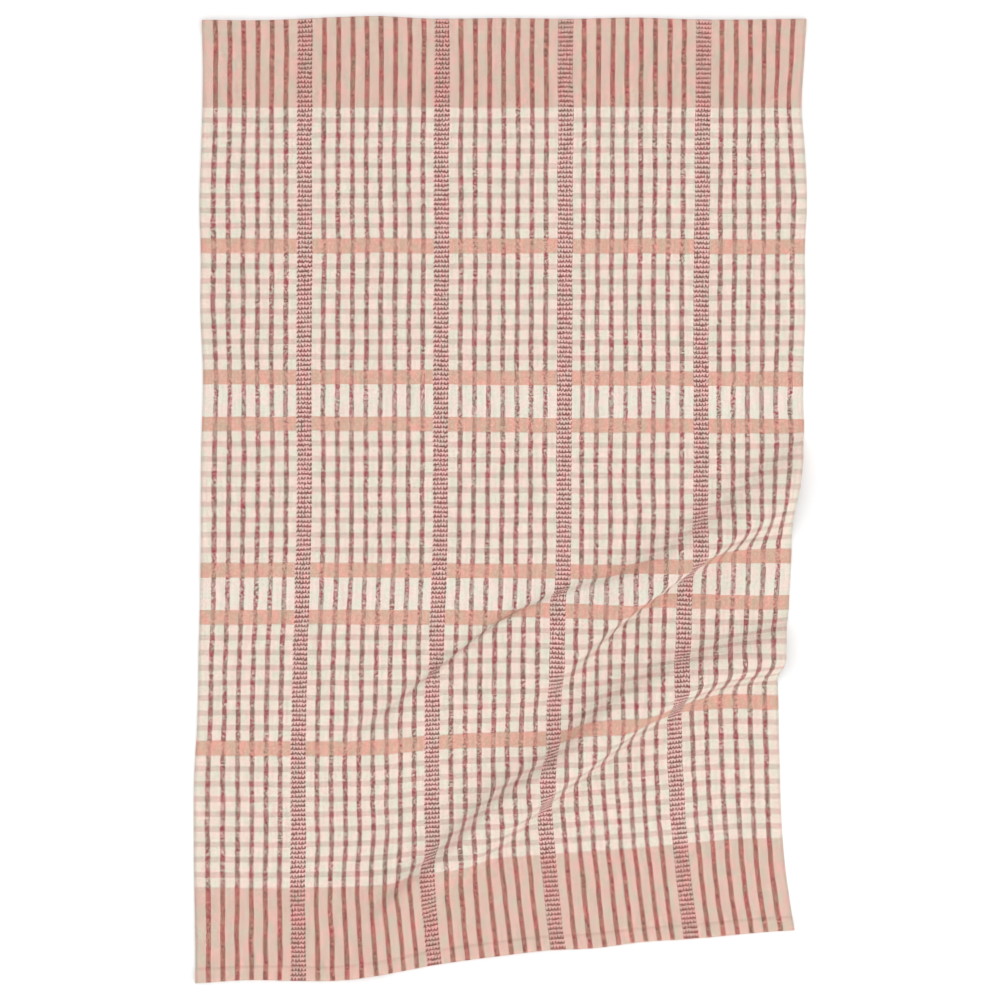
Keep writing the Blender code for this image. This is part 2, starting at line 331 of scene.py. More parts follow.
def near(distance):
    """1 at an edge, and down to 0 at the reach of its straying."""
    return 1.0 - ease(distance / EDGE_REACH)


def over(span, place):
    """0 to 1 as a place goes from one end of a span to the other."""
    return ease((place - span[0]) / (span[1] - span[0]))


def crease_height(crease, u, v):
    """A low ridge along a bowed line: a raised cosine across, of two widths, and eased off at both ends."""
    run_u, run_v = crease.u1 - crease.u0, crease.v1 - crease.v0
    length = np.hypot(run_u, run_v)
    share = ((u - crease.u0) * run_u + (v - crease.v0) * run_v) / length**2
    aside = ((v - crease.v0) * run_u - (u - crease.u0) * run_v) / length
    aside = aside - crease.bow * (1.0 - (2.0 * np.clip(share, 0.0, 1.0) - 1.0) ** 2)
    width = np.where(aside > 0.0, crease.left, crease.right)
    across = 0.5 + 0.5 * np.cos(np.pi * np.clip(aside / width, -1.0, 1.0))
    return crease.height * across * ease(share / CREASE_FADE) * ease((1.0 - share) / CREASE_FADE)


def ripple_height(u, v):
    """Low waves, each (1 + sine times sine) of the place in its own turned axes, so none goes below zero."""
    height = np.zeros_like(u)
    for ripple in RIPPLES:
        a = u * np.cos(ripple.turn) + v * np.sin(ripple.turn)
        b = v * np.cos(ripple.turn) - u * np.sin(ripple.turn)
        wave_u = np.sin(2.0 * np.pi * a / ripple.long_u + ripple.phase)
        wave_v = np.sin(2.0 * np.pi * b / ripple.long_v + PHASE_RATIO * ripple.phase)
        height = height + ripple.height * (1.0 + wave_u * wave_v)
    return height


def lay_cloth(u, v):
    """Where each point of the flat cloth lies: its underside, as an array whose last axis is x, y, z."""
    down = ease((LENGTH - v) / (0.5 * LENGTH))
    near_hem = np.clip(1.0 - v / SPREAD_BELOW, 0.0, 1.0)
    x = u - SIDE_DRIFT * over(SIDE_DRIFT_SPAN, v) - DRAWN_IN * down * over(DRAWN_IN_SPAN, v) * u / WIDTH
    x = x + SPREAD * near_hem**2 * over(SPREAD_SPAN, u)
    y = v - SAGGED * down * over(SAG_SPAN, u) + HEM_RISE * near_hem * over(HEM_RISE_SPAN, u)
    z = ripple_height(u, v)
    for fold in (UPPER_FOLD, LOWER_FOLD):
        dx, dy, dz = lay_fold(fold, u, v)
        x, y, z = x + dx, y + dy, z + dz
    for pull in PULLS:
        far = np.hypot((u - pull.u) / pull.reach_u, (v - pull.v) / pull.reach_v)
        x = x + pull.right * (1.0 - ease(far))
    x = x + near(u) * along(LEFT_EDGE, "off", v) + near(WIDTH - u) * along(RIGHT_EDGE, "off", v)
    y = y + near(v) * along(LOWER_EDGE, "off", u) + near(LENGTH - v) * along(UPPER_EDGE, "off", u)
    for crease in CREASES:
        z = z + crease_height(crease, u, v)
    return np.stack([x - MIDDLE_U, y - MIDDLE_V, z], axis=-1)


def normals_of(points):
    """Unit normals of a grid of points: the cross product of its steps along the columns and the rows."""
    normal = np.cross(np.gradient(points, axis=1), np.gradient(points, axis=0))
    return normal / np.linalg.norm(normal, axis=-1, keepdims=True)


# --- The cloth and its hems ---
# Cotton yarns in plain weave, woven to this width, so both long sides are selvedges. Each cut end is turned
# under twice, which hides the raw edge between two layers, and stitched down.

YARN_SHEET = 0.00084  # thickness of one layer of the cloth
LAYER_STEP = 0.00086  # from one layer of a hem to the next
HEM_DEPTH = 0.0095
HEM_FALL = 0.0035  # beyond the hem's inner edge the face comes down to the table over this much
RAW_EDGE = 0.0028  # the raw edge stops this far from the fold that hides it
STITCH_LINE = 0.0083  # from the folded edge
STITCH_DIP = 0.00018  # how deep the stitches draw the hem's face in
STITCH_DIP_WIDTH = 0.0016

COLUMNS = 160  # mesh steps across the cloth
FACE_SHARES = np.linspace(-0.40, 1.30, 22)  # mesh rows along a fold's face, as shares of its width
RIDGE_ROWS = 9
BACK_SHARES = np.linspace(1.20, -0.40, 15)
LEAST_ROW_GAP = 0.0004  # between two mesh rows
FLOOR_BLEND = 0.020  # how softly the rows along a fold turn level where the fold has died out
ROWS_BELOW, ROWS_BETWEEN, ROWS_ABOVE = 24, 12, 104  # below, between and above the folds
LOWER_FLOOR, LOWER_FLOOR_STEP = 0.024, 0.0020  # the least v of a fold's first row, and what each next adds
UPPER_FLOOR, UPPER_FLOOR_STEP = 0.150, 0.0022
FALL_ROWS = 5  # down from each hem's inner edge
LAYER_POINTS, FACE_POINTS = 4, 9  # places along each hidden layer of the hem's profile, and along its face
INNER_BEND = np.radians(np.linspace(60.0, -60.0, 4))
OUTER_BEND = np.radians(np.linspace(-75.0, 75.0, 7))
RIM_SWELL = 0.4  # how far the rounded rim stands out, in thicknesses


def between(low, high, steps):
    """Evenly spaced rows between two rows, without them."""
    return [low + (high - low) * step / steps for step in range(1, steps)]


def fold_rows(fold, u, floor, floor_step):
    """Mesh rows that run along a fold, each kept above a level of its own and above the row before it."""
    face, step = (along(fold, name, u) for name in ("face", "step"))
    foot, back = (along(fold, name, u) for name in ("face_v", "back_v"))
    lines = [foot + share * face / square_to(fold, "face_v", u) for share in FACE_SHARES]
    backs = [back - share * step / square_to(fold, "back_v", u) for share in BACK_SHARES]
    rows = [np.full_like(u, floor)]
    for number, line in enumerate(lines + between(lines[-1], backs[0], RIDGE_ROWS) + backs):
        least = floor + floor_step * number
        row = 0.5 * (line + least + np.hypot(line - least, FLOOR_BLEND))
        rows.append(np.maximum(row, rows[-1] + LEAST_ROW_GAP))
    return rows[1:]


def hem_profile():
    """The turned hem from its hidden raw edge out to the single cloth, as depth, lift and cloth.

    Depth, in from the folded edge, and lift place the middle of the layer. Cloth is the place along the
    cloth itself, below 0 under the hem. The bends are arcs of half the distance between two layers.
    """
    low, middle, high = 0.5 * YARN_SHEET, 0.5 * YARN_SHEET + LAYER_STEP, 0.5 * YARN_SHEET + 2.0 * LAYER_STEP
    inner, outer = 0.5 * LAYER_STEP, LAYER_STEP
    inner_middle = HEM_DEPTH - inner - 0.5 * YARN_SHEET
    outer_middle = outer + 0.5 * YARN_SHEET
    runs = (
        (np.linspace(RAW_EDGE, inner_middle, LAYER_POINTS), np.full(LAYER_POINTS, middle)),
        (inner_middle + inner * np.cos(INNER_BEND), middle - inner + inner * np.sin(INNER_BEND)),
        (np.linspace(inner_middle, outer_middle, LAYER_POINTS), np.full(LAYER_POINTS, low)),
        (outer_middle - outer * np.cos(OUTER_BEND), low + outer + outer * np.sin(OUTER_BEND)),
        (np.linspace(outer_middle, HEM_DEPTH, FACE_POINTS), np.full(FACE_POINTS, high)),
    )
    depth, lift = (np.concatenate(part) for part in zip(*runs))
    dip = np.clip((depth - STITCH_LINE) / STITCH_DIP_WIDTH, -1.0, 1.0)
    on_face = np.arange(len(depth)) >= len(depth) - FACE_POINTS
    lift = lift - on_face * STITCH_DIP * (0.5 + 0.5 * np.cos(np.pi * dip))
    steps = np.hypot(np.diff(depth), np.diff(lift))
    cloth = np.concatenate([[0.0], np.cumsum(steps)])
    return depth, lift, cloth - cloth[-1] + HEM_DEPTH


def cloth_rows(u):
    """Depth v, lift and place along the cloth of every mesh row at each u, from raw edge to raw edge."""
    depth, lift, cloth = hem_profile()
    level = np.zeros_like(u)
    lower_hem = [level + d for d in depth]
    upper_hem = [LENGTH - row for row in reversed(lower_hem)]
    lower = fold_rows(LOWER_FOLD, u, LOWER_FLOOR, LOWER_FLOOR_STEP)
    upper = fold_rows(UPPER_FOLD, u, UPPER_FLOOR, UPPER_FLOOR_STEP)
    fall = [level + HEM_DEPTH + HEM_FALL * row / FALL_ROWS for row in range(1, FALL_ROWS + 1)]
    rise = [LENGTH - row for row in reversed(fall)]
    body = (
        fall
        + between(fall[-1], lower[0], ROWS_BELOW)
        + lower
        + between(lower[-1], upper[0], ROWS_BETWEEN)
        + upper
        + between(upper[-1], rise[0], ROWS_ABOVE)
        + rise
    )
    v = np.array(lower_hem + body + upper_hem)
    body_v = np.array(body)
    single, high = 0.5 * YARN_SHEET, lift[-1]
    inside = np.minimum(body_v, LENGTH - body_v) - HEM_DEPTH
    body_lift = single + (high - single) * (1.0 - ease(inside / HEM_FALL))
    hem_lift = np.repeat(lift[:, None], len(u), axis=1)
    hem_cloth = np.repeat(cloth[:, None], len(u), axis=1)
    lifts = np.concatenate([hem_lift, body_lift, hem_lift[::-1]])
    cloths = np.concatenate([hem_cloth, body_v, LENGTH - hem_cloth[::-1]])
    return v, lifts, cloths


def closed_sheet(name, middle, thick, flat):
    """A closed mesh from a grid: two faces half the thickness off the middle, joined by a rounded rim.

    `flat` holds each grid point's place on the flat cloth, which becomes the UV map, in metres.
    """
    rows, columns = middle.shape[:2]
    offset = 0.5 * thick * normals_of(middle)
    index = np.arange(rows * columns).reshape(rows, columns)
    border = np.concatenate([index[0, :-1], index[:-1, -1], index[-1, :0:-1], index[:0:-1, 0]])
    points = middle.reshape(-1, 3)
    inwards = np.roll(points[border], -1, axis=0) - np.roll(points[border], 1, axis=0)
    outwards = np.cross(inwards, offset.reshape(-1, 3)[border])
    outwards = outwards / np.linalg.norm(outwards, axis=1, keepdims=True)
    rim = points[border] + RIM_SWELL * thick * outwards
    vertices = np.concatenate([(middle + offset).reshape(-1, 3), (middle - offset).reshape(-1, 3), rim])

    a, b, c, d = (part.ravel() for part in (index[:-1, :-1], index[:-1, 1:], index[1:, 1:], index[1:, :-1]))
    count = rows * columns
    following = np.roll(border, -1)
    rim_here = 2 * count + np.arange(len(border))
    rim_next = np.roll(rim_here, -1)
    faces = np.concatenate([
        np.stack([a, b, c, d], axis=1),
        count + np.stack([d, c, b, a], axis=1),
        np.stack([border, rim_here, rim_next, following], axis=1),
        np.stack([rim_here, border + count, following + count, rim_next], axis=1),
    ])
    mesh = bpy.data.meshes.new(name)
    mesh.from_pydata(vertices, [], faces)
    flat_places = np.concatenate([flat.reshape(-1, 2), flat.reshape(-1, 2), flat.reshape(-1, 2)[border]])
    uv = mesh.uv_layers.new(name="flat cloth")
    uv.data.foreach_set("uv", flat_places[faces.ravel()].astype(np.float32).ravel())
    mesh.shade_smooth()
    return mesh


columns_u = np.linspace(0.0, WIDTH, COLUMNS + 1)
rows_v, rows_lift, rows_cloth = cloth_rows(columns_u)
grid_u = np.broadcast_to(columns_u, rows_v.shape)


def on_cloth(u, v, lift):
    """Points at a height above the cloth's underside, measured square to it."""
    step = 0.0005
    here = lay_cloth(u, v)
    normal = np.cross(lay_cloth(u + step, v) - here, lay_cloth(u, v + step) - here)
    normal = normal / np.linalg.norm(normal, axis=-1, keepdims=True)
    return here + lift[..., None] * normal


middle = on_cloth(grid_u, rows_v, rows_lift)
towel_mesh = closed_sheet("tea_towel", middle, YARN_SHEET, np.stack([grid_u, rows_cloth], axis=-1))
towel = bpy.data.objects.new("tea_towel", towel_mesh)
bpy.context.scene.collection.objects.link(towel)


# --- The woven cotton ---
# Plain weave of 0.84 mm warps and 0.79 mm picks, spun unevenly, so the stripes break up into specks. Dark
# rose warps make narrow stripes, four wide stripes carry a small zigzag, and the weft is cream with greyed
# pink lines, orange bands and a peach band at each end.

WARP_PITCH = 0.000843
PICK_PITCH = 0.000785
PICK_CENTRE = 0.4026  # v of the layout's middle
TAKEN_UP_FROM = 273.0  # picks beyond this, towards the upper hem, are beaten up closer
TAKEN_UP = 0.010

# The layout is counted in yarns from the middle, and is the same to both sides and to both ends. A run is a
# stretch whose stripes or lines keep their repeat, and offset is where one of them has its middle.
Run = namedtuple("Run", "start offset")
STRIPE_REPEAT, STRIPE_HALF = 14.0, 2.5
STRIPE_RUNS = (Run(0.0, 0.0), Run(60.0, 9.0), Run(195.0, 4.0))
STRIPES_END = 294.0
STRIPE_CORE = 1.5  # half of what stands highest in a narrow stripe
WIDE_STRIPES = ((53.5, 68.5), (188.5, 203.5))
CLEAR_INSIDE, CLEAR_OUTSIDE = 8.5, 7.5  # no narrow stripe lies this near to a wide one
SELVEDGE_FROM = 294.5
LINE_REPEAT, LINE_HALF = 16.0, 3.0
LINE_RUNS = (Run(0.0, 8.0), Run(100.0, 4.0), Run(265.0, 15.0))
FIELDS = ((-1.0, 70.0), (134.0, 258.0), (273.0, 413.0))
ORANGE_BANDS = ((70.0, 85.0), (119.0, 134.0), (258.0, 273.0))
PEACH_FROM = 413.0

# The yarns stray from straight. One row for each size of waver: how many to a metre, and how far at most.
Waver = namedtuple("Waver", "per_metre amount")
WAVERS = (Waver(11.0, 0.0012), Waver(45.0, 0.0005), Waver(420.0, 0.00016))

# Heights in the weave are in a yarn's own radii.
YARN_WAVE = 0.8  # how far each yarn goes over and under the ones it crosses
STRIPE_RAISED, CORE_RAISED, LINE_RAISED = 0.25, 0.75, 0.40  # rose warps, the core's too, and more on a line
ORANGE_RAISED = 1.6
SLUB_LENGTH = 0.001  # of a thick place in a yarn
SLUB_PUSH, CROSSING_PUSH, MEAN_PUSH = 5.0, 4.8, 4.95  # what uneven spinning adds, less its mean
UNDYED_PUSH = 0.10  # share of it that the plain ground gets
YARN_RELIEF = 0.00014
TOOTH_WARPS, TOOTH_PICKS = 3.0, 5.0  # from one tooth to the next, and from one row to the next
TOOTH_SLANT = 0.24  # how far the way across a tooth shifts its row
TOOTH_PARTING = 0.5  # how clearly the teeth of a row stand apart
TOOTH_UNEVENNESS = 0.32


def colour(red, green, blue):
    """A colour given as it looks on a screen, 0 to 255, turned into linear light."""
    shown = np.array([red, green, blue]) / 255.0
    linear = np.where(shown > 0.04045, ((shown + 0.055) / 1.055) ** 2.4, shown / 12.92)
    return (*linear.tolist(), 1.0)


CREAM = colour(239, 227, 214)
FIELD_WEFT = colour(237, 222, 206)
ROSE = colour(158, 76, 82)
ROSE_BROWN = colour(137, 96, 86)
PINK = colour(236, 201, 193)
PINK_IN_PEACH = colour(228, 184, 174)
LINE_WEFT = colour(200, 173, 158)
PINK_LINE_WEFT = colour(214, 167, 156)
ORANGE_WEFT = colour(222, 176, 157)
PEACH_WEFT = colour(206, 152, 134)
FIGURE_ROSE = colour(150, 88, 86)
GREENER = (0.945, 1.014, 0.985, 1.0)  # what a tint multiplies the yarns' colours by
PINKER = (1.055, 0.966, 0.985, 1.0)
NO_TINT = (1.0, 1.0, 1.0, 1.0)
LEAST_ROSE, ROSE_SPREAD = 0.71, 0.60  # how dark the darkest crossing is, and how much lighter they get
PEACH_WEFT_LIFT, PEACH_ROSE_SHADE = 0.25, 0.10  # where a narrow stripe crosses a peach band

# Streaks of uneven dye and spinning, one row for each kind: its size across and along the cloth, and how
# strong it is.
# The last of the streaks that change how light the cloth is is painted shade, standing in for the shade of
# small puckers.
Streak = namedtuple("Streak", "across along strength")
ROSE_DRIFT = Streak(0.006, 0.011, 5.0)
LINE_DRIFT = Streak(0.014, 0.005, 5.0)
TINT_DRIFT = Streak(0.009, 0.012, 4.0)
BAND_DRIFT = Streak(0.005, 0.016, 4.0)
# the first two are thick and thin yarns across and along; the third is painted shade, soft patches darkened
# and lightened as small puckers would be by the light
YARN_STREAKS_AND_PUCKER_SHADE = (Streak(0.0013, 0.030, 0.15), Streak(0.022, 0.0012, 0.11), Streak(0.005, 0.025, 0.12))
LEAST_LIGHT = 0.66
LIGHT_BY_CROSSING = 0.13
# painted shade: the outermost warps on both sides are darkened by this share, standing in for the shade at
# the cloth's edge
SELVEDGE_PAINTED_SHADE = 0.10

Yarns = namedtuple("Yarns", "place s t warp pick narrow core wide selvedge line orange peach field")


def calc(tree, operation, *values):
    """One Math node. Each value is a number or another node's output."""
    node = tree.nodes.new("ShaderNodeMath")
    node.operation = operation
    for socket, value in zip(node.inputs, values):
        if isinstance(value, (int, float)):
            socket.default_value = value
        else:
            tree.links.new(value, socket)
    return node.outputs[0]


def within(tree, value, spans):
    """1 where the value lies in one of the spans, else 0."""
    total = 0.0
    for low, high in spans:
        inside = calc(tree, "COMPARE", value, 0.5 * (low + high), 0.5 * (high - low))
        total = calc(tree, "ADD", inside, total)
    return total


def offset_of_run(tree, value, runs):
    """The offset of the run that the value lies in."""
    offset = runs[0].offset
    for before, run in zip(runs, runs[1:]):
        past = calc(tree, "GREATER_THAN", value, run.start)
        offset = calc(tree, "MULTIPLY_ADD", past, run.offset - before.offset, offset)
    return offset


def from_middle(tree, value, runs, repeat):
    """How many yarns the value is from the middle of the nearest stripe or line."""
    counted = calc(tree, "SUBTRACT", value, offset_of_run(tree, value, runs))
    return calc(tree, "PINGPONG", counted, 0.5 * repeat)


def blend(tree, share, first, second):
    """The first colour where share is 0 and the second where it is 1, each four numbers or an output."""
    node = tree.nodes.new("ShaderNodeMix")
    node.data_type = "RGBA"
    tree.links.new(share, node.inputs["Factor"])
    for socket, value in zip((node.inputs[6], node.inputs[7]), (first, second)):
        if isinstance(value, tuple):
            socket.default_value = value
        else:
            tree.links.new(value, socket)
    return node.outputs[2]


def dim(tree, tint, factor):
    """A colour times a number."""
    node = tree.nodes.new("ShaderNodeVectorMath")
    node.operation = "SCALE"
    tree.links.new(tint, node.inputs[0])
    tree.links.new(factor, node.inputs["Scale"])
    return node.outputs[0]


def times(tree, first, second):
    """Two colours multiplied."""
    node = tree.nodes.new("ShaderNodeVectorMath")
    node.operation = "MULTIPLY"
    tree.links.new(first, node.inputs[0])
    tree.links.new(second, node.inputs[1])
    return node.outputs[0]


def noise(tree, place, scale, detail=2.0):
    """Noise over a place in metres, as (a number from 0 to 1, a colour of three such numbers)."""
    node = tree.nodes.new("ShaderNodeTexNoise")
    node.noise_dimensions = "2D"
    node.inputs["Scale"].default_value = scale
    node.inputs["Detail"].default_value = detail
    tree.links.new(place, node.inputs["Vector"])
    return node.outputs["Fac"], node.outputs["Color"]


def streaks(tree, place, streak):
    """Noise from 0 to 1, drawn out to the two sizes of a streak."""
    node = tree.nodes.new("ShaderNodeVectorMath")
    node.operation = "MULTIPLY"
    node.inputs[1].default_value = (1.0 / streak.across, 1.0 / streak.along, 0.0)
    tree.links.new(place, node.inputs[0])
    return noise(tree, node.outputs[0], 1.0)[0]


def drift(tree, place, streak):
    """A share that wanders about a half: a half, plus the strength times the noise less a half."""
    base = 0.5 - 0.5 * streak.strength
    return calc(tree, "MULTIPLY_ADD", streaks(tree, place, streak), streak.strength, base)


def dice(tree, first, second):
    """A number from 0 to 1 that is drawn anew for each pair of whole numbers."""
    pair = tree.nodes.new("ShaderNodeCombineXYZ")
    for socket, value in zip(pair.inputs, (first, second)):
        tree.links.new(value, socket)
    node = tree.nodes.new("ShaderNodeTexWhiteNoise")
    node.noise_dimensions = "2D"
    tree.links.new(pair.outputs[0], node.inputs["Vector"])
    return node.outputs["Value"]


def wander(tree, place, waver):
    """The place moved by up to a waver's amount either way, as yarns stray from their straight line."""
    shift = noise(tree, place, waver.per_metre)[1]
    centred = tree.nodes.new("ShaderNodeVectorMath")
    centred.operation = "SUBTRACT"
    centred.inputs[1].default_value = (0.5, 0.5, 0.5)
    tree.links.new(shift, centred.inputs[0])
    moved = tree.nodes.new("ShaderNodeVectorMath")
    moved.operation = "MULTIPLY_ADD"
    moved.inputs[1].default_value = (2.0 * waver.amount, 2.0 * waver.amount, 0.0)
    tree.links.new(centred.outputs[0], moved.inputs[0])
    tree.links.new(place, moved.inputs[2])
    return moved.outputs[0]


def lay_out_yarns(tree):
    """Which yarns cross at each place on the flat cloth, and which stripe, line or band they lie in.

    s counts warps from the middle of the cloth, and t counts picks from the middle of the layout.
    """
    uv = tree.nodes.new("ShaderNodeUVMap")
    uv.uv_map = "flat cloth"
    place = uv.outputs[0]
    for waver in WAVERS:
        place = wander(tree, place, waver)
    split = tree.nodes.new("ShaderNodeSeparateXYZ")
    tree.links.new(place, split.inputs[0])
    s = calc(tree, "MULTIPLY_ADD", split.outputs[0], 1.0 / WARP_PITCH, 0.5 - 0.5 * WIDTH / WARP_PITCH)
    t = calc(tree, "MULTIPLY_ADD", split.outputs[1], 1.0 / PICK_PITCH, -PICK_CENTRE / PICK_PITCH)
    closer = calc(tree, "MAXIMUM", calc(tree, "SUBTRACT", t, TAKEN_UP_FROM), 0.0)
    t = calc(tree, "MULTIPLY_ADD", closer, TAKEN_UP, t)
    warp, pick = calc(tree, "FLOOR", s), calc(tree, "FLOOR", t)
    out = calc(tree, "ABSOLUTE", warp)
    up = calc(tree, "ABSOLUTE", calc(tree, "ADD", pick, 0.5))

    clear = [(low - CLEAR_INSIDE, high + CLEAR_OUTSIDE) for low, high in WIDE_STRIPES]
    from_stripe = from_middle(tree, out, STRIPE_RUNS, STRIPE_REPEAT)
    narrow = calc(tree, "LESS_THAN", from_stripe, STRIPE_HALF)
    narrow = calc(tree, "MULTIPLY", narrow, calc(tree, "SUBTRACT", 1.0, within(tree, out, clear)))
    narrow = calc(tree, "MULTIPLY", narrow, calc(tree, "LESS_THAN", out, STRIPES_END))
    field = within(tree, up, FIELDS)
    line = calc(tree, "LESS_THAN", from_middle(tree, up, LINE_RUNS, LINE_REPEAT), LINE_HALF)
    return Yarns(
        place=place,
        s=s,
        t=t,
        warp=warp,
        pick=pick,
        narrow=narrow,
        core=calc(tree, "LESS_THAN", from_stripe, STRIPE_CORE),
        wide=within(tree, out, WIDE_STRIPES),
        # the outermost warps, where a painted shade stands in for the shade at the cloth's edge
        selvedge=calc(tree, "GREATER_THAN", out, SELVEDGE_FROM),
        line=calc(tree, "MULTIPLY", line, field),
        orange=within(tree, up, ORANGE_BANDS),
        peach=calc(tree, "GREATER_THAN", up, PEACH_FROM),
        field=field,
    )


def spin_unevenly(tree, yarns):
    """What thick and thin places in the yarns add to a warp's height, and the draw made at each crossing."""
    crossing = dice(tree, yarns.warp, yarns.pick)
    slub = noise(tree, yarns.place, 1.0 / SLUB_LENGTH, detail=1.0)[0]
    push = calc(tree, "MULTIPLY_ADD", slub, SLUB_PUSH, calc(tree, "MULTIPLY", crossing, CROSSING_PUSH))
    dyed = calc(tree, "ADD", yarns.narrow, yarns.wide)
    share = calc(tree, "MULTIPLY_ADD", dyed, 1.0 - UNDYED_PUSH, UNDYED_PUSH)
    return calc(tree, "MULTIPLY", calc(tree, "SUBTRACT", push, MEAN_PUSH), share), crossing


def round_section(tree, count):
    """Height of a yarn's round section: the root of 1 less the square of the way out from its middle."""
    out = calc(tree, "MULTIPLY_ADD", calc(tree, "FRACT", count), 2.0, -1.0)
    inside = calc(tree, "SUBTRACT", 1.0, calc(tree, "MULTIPLY", out, out))
    return calc(tree, "SQRT", calc(tree, "MAXIMUM", inside, 0.0))


def crimp(tree, count, number):
    """The sine wave, from -1 to 1, that takes yarn `number` over and under the yarns that count counts."""
    return calc(tree, "SINE", calc(tree, "MULTIPLY", calc(tree, "ADD", count, number), float(np.pi)))


def weave_together(tree, yarns, uneven):
    """1 where the warp lies on top, and the weave's height: each yarn's round section plus its crimp.

    Uneven spinning pushes one or the other up, so here and there the wrong yarn shows.
    """
    warp_wave, pick_wave = crimp(tree, yarns.t, yarns.warp), crimp(tree, yarns.s, yarns.pick)
    warp_height = calc(tree, "MULTIPLY_ADD", warp_wave, YARN_WAVE, round_section(tree, yarns.s))
    pick_height = calc(tree, "MULTIPLY_ADD", pick_wave, -YARN_WAVE, round_section(tree, yarns.t))
    raised = calc(tree, "MULTIPLY_ADD", yarns.core, CORE_RAISED, STRIPE_RAISED)
    raised = calc(tree, "MULTIPLY_ADD", yarns.line, LINE_RAISED, raised)
    warp_height = calc(tree, "MULTIPLY_ADD", yarns.narrow, raised, warp_height)
    pick_height = calc(tree, "MULTIPLY_ADD", yarns.orange, ORANGE_RAISED, pick_height)
    warp_on_top = calc(tree, "GREATER_THAN", calc(tree, "ADD", warp_height, uneven), pick_height)
    return warp_on_top, calc(tree, "MAXIMUM", warp_height, pick_height)


def dark_teeth(tree, yarns, uneven):
    """1 on the dark teeth of a wide stripe, where a cosine of the rows plus one of the teeth is above 0.

    The rows are slanted to and fro by the way across each tooth, which makes them zigzag.
    """
    slant = calc(tree, "PINGPONG", yarns.s, 0.5 * TOOTH_WARPS)
    row = calc(tree, "MULTIPLY_ADD", slant, TOOTH_SLANT, calc(tree, "MULTIPLY", yarns.t, 1.0 / TOOTH_PICKS))
    row_wave = calc(tree, "COSINE", calc(tree, "MULTIPLY", row, float(2.0 * np.pi)))
    tooth_wave = calc(tree, "COSINE", calc(tree, "MULTIPLY", yarns.s, float(2.0 * np.pi / TOOTH_WARPS)))
    figure = calc(tree, "MULTIPLY_ADD", tooth_wave, TOOTH_PARTING, row_wave)
    figure = calc(tree, "MULTIPLY_ADD", uneven, TOOTH_UNEVENNESS, figure)
    return calc(tree, "GREATER_THAN", figure, 0.0)


def dye(tree, yarns, warp_on_top, dark_tooth):
    """The dyed colour of the yarn on top.

    Rose warps drift towards brown and are darker at some crossings. The whole cloth drifts between a greener
    and a pinker tint, and the bands do so once more.
    """
    rose_drift = drift(tree, yarns.place, ROSE_DRIFT)
    shade = calc(tree, "MULTIPLY_ADD", dice(tree, yarns.pick, yarns.warp), ROSE_SPREAD, LEAST_ROSE)
    rose = dim(tree, blend(tree, rose_drift, ROSE, ROSE_BROWN), shade)
    figure_rose = dim(tree, blend(tree, rose_drift, FIGURE_ROSE, ROSE_BROWN), shade)
    line_weft = blend(tree, drift(tree, yarns.place, LINE_DRIFT), LINE_WEFT, PINK_LINE_WEFT)
    tint = blend(tree, drift(tree, yarns.place, TINT_DRIFT), GREENER, PINKER)
    band_tint = blend(tree, drift(tree, yarns.place, BAND_DRIFT), GREENER, PINKER)
    band_tint = blend(tree, calc(tree, "ADD", yarns.peach, yarns.orange), NO_TINT, band_tint)

    weft = blend(tree, yarns.field, CREAM, FIELD_WEFT)
    weft = blend(tree, yarns.line, weft, line_weft)
    weft = blend(tree, yarns.orange, weft, ORANGE_WEFT)
    weft = blend(tree, yarns.peach, weft, PEACH_WEFT)
    peach_stripe = calc(tree, "MULTIPLY", yarns.peach, yarns.narrow)
    weft = dim(tree, weft, calc(tree, "MULTIPLY_ADD", peach_stripe, PEACH_WEFT_LIFT, 1.0))
    rose = dim(tree, rose, calc(tree, "MULTIPLY_ADD", peach_stripe, -PEACH_ROSE_SHADE, 1.0))
    plain = blend(tree, warp_on_top, weft, blend(tree, yarns.narrow, CREAM, rose))
    figured = blend(tree, dark_tooth, blend(tree, yarns.peach, PINK, PINK_IN_PEACH), figure_rose)
    return times(tree, times(tree, blend(tree, yarns.wide, plain, figured), tint), band_tint)


def shade_in_streaks(tree, yarns, crossing):
    """How light each place is: uneven tone from thick and thin yarns both ways and from each crossing,
    painted shade of small puckers, and painted shade along both selvedges for the shade at the cloth's edge.
    """
    light = LEAST_LIGHT
    for streak in YARN_STREAKS_AND_PUCKER_SHADE:
        light = calc(tree, "MULTIPLY_ADD", streaks(tree, yarns.place, streak), streak.strength, light)
    light = calc(tree, "MULTIPLY_ADD", crossing, LIGHT_BY_CROSSING, light)
    # painted shade along both selvedges, for the shade at the cloth's edge
    return calc(tree, "MULTIPLY_ADD", yarns.selvedge, -SELVEDGE_PAINTED_SHADE, light)


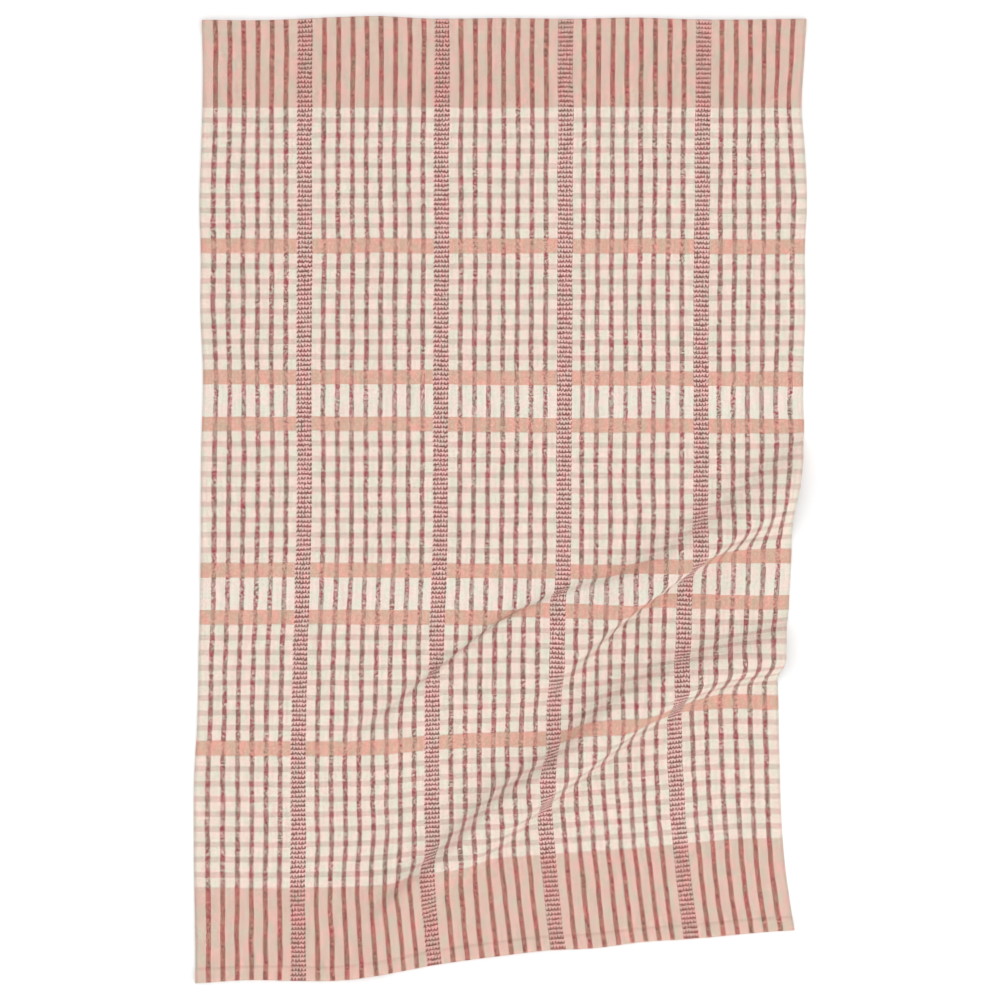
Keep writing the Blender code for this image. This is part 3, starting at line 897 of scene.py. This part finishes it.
def make_woven_cotton():
    """The cloth's material: matt cotton with a slight sheen, coloured and raised yarn by yarn."""
    material = bpy.data.materials.new("woven_cotton")
    material.use_nodes = True
    tree = material.node_tree
    surface = tree.nodes["Principled BSDF"]
    yarns = lay_out_yarns(tree)
    uneven, crossing = spin_unevenly(tree, yarns)
    warp_on_top, height = weave_together(tree, yarns, uneven)
    dyed = dye(tree, yarns, warp_on_top, dark_teeth(tree, yarns, uneven))
    tree.links.new(dim(tree, dyed, shade_in_streaks(tree, yarns, crossing)), surface.inputs["Base Color"])
    surface.inputs["Roughness"].default_value = 0.88
    surface.inputs["Specular IOR Level"].default_value = 0.2
    surface.inputs["Sheen Weight"].default_value = 0.10
    surface.inputs["Sheen Roughness"].default_value = 0.5

    bump = tree.nodes.new("ShaderNodeBump")
    bump.inputs["Strength"].default_value = 0.5
    bump.inputs["Distance"].default_value = YARN_RELIEF
    tree.links.new(height, bump.inputs["Height"])
    tree.links.new(bump.outputs[0], surface.inputs["Normal"])
    return material


towel_mesh.materials.append(make_woven_cotton())
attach(towel, "root")
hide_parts("towel_cloth")


# --- The hem stitches ---
# One row of plain stitches in cotton thread along each hem, sewn through all three layers near the hem's
# inner edge. Only the runs on the face are made, each a short thread whose two ends dip into the cloth.

STITCHES = 200  # along each hem
STITCH_LENGTH = 0.0019
THREAD_RADIUS = 0.00018
THREAD_SIDES = 6
THREAD_LIFTS = np.array([-0.9, 0.5, 0.8, 0.5, -0.9])  # of the thread's middle, in radii above the face
THREAD_COLOUR = colour(226, 200, 182)


def stitch_rows():
    """The middles of every stitch's thread, as an array of stitches, places along each and x, y, z."""
    centres = (np.arange(STITCHES) + 0.5) * WIDTH / STITCHES
    shares = np.linspace(-0.5, 0.5, len(THREAD_LIFTS))
    u = centres[:, None] + STITCH_LENGTH * shares
    face = YARN_SHEET + 2.0 * LAYER_STEP - STITCH_DIP
    lift = face + THREAD_RADIUS * np.broadcast_to(THREAD_LIFTS, u.shape)
    rows = [on_cloth(u, np.full_like(u, v), lift) for v in (STITCH_LINE, LENGTH - STITCH_LINE)]
    return np.concatenate(rows)


def make_stitches():
    """All the stitches as one mesh: a ring of sides round each place of each thread, closed at both ends."""
    middles = stitch_rows()
    count, places = middles.shape[:2]
    turn = 2.0 * np.pi * np.arange(THREAD_SIDES) / THREAD_SIDES
    ring = THREAD_RADIUS * np.stack([np.zeros(THREAD_SIDES), np.cos(turn), np.sin(turn)], axis=1)
    vertices = middles[:, :, None, :] + ring
    index = np.arange(count * places * THREAD_SIDES).reshape(count, places, THREAD_SIDES)
    beside = np.roll(index, -1, axis=2)
    sides = np.stack([index[:, :-1], beside[:, :-1], beside[:, 1:], index[:, 1:]], axis=-1).reshape(-1, 4)
    ends = np.concatenate([index[:, 0, ::-1], index[:, -1]])
    mesh = bpy.data.meshes.new("hem_stitches")
    mesh.from_pydata(vertices.reshape(-1, 3), [], sides.tolist() + ends.tolist())
    mesh.shade_smooth()
    material = bpy.data.materials.new("sewing_thread")
    material.use_nodes = True
    surface = material.node_tree.nodes["Principled BSDF"]
    surface.inputs["Base Color"].default_value = THREAD_COLOUR
    surface.inputs["Roughness"].default_value = 0.8
    mesh.materials.append(material)
    stitches = bpy.data.objects.new("hem_stitches", mesh)
    bpy.context.scene.collection.objects.link(stitches)
    return stitches


hem_stitches = make_stitches()
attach(hem_stitches, "root")
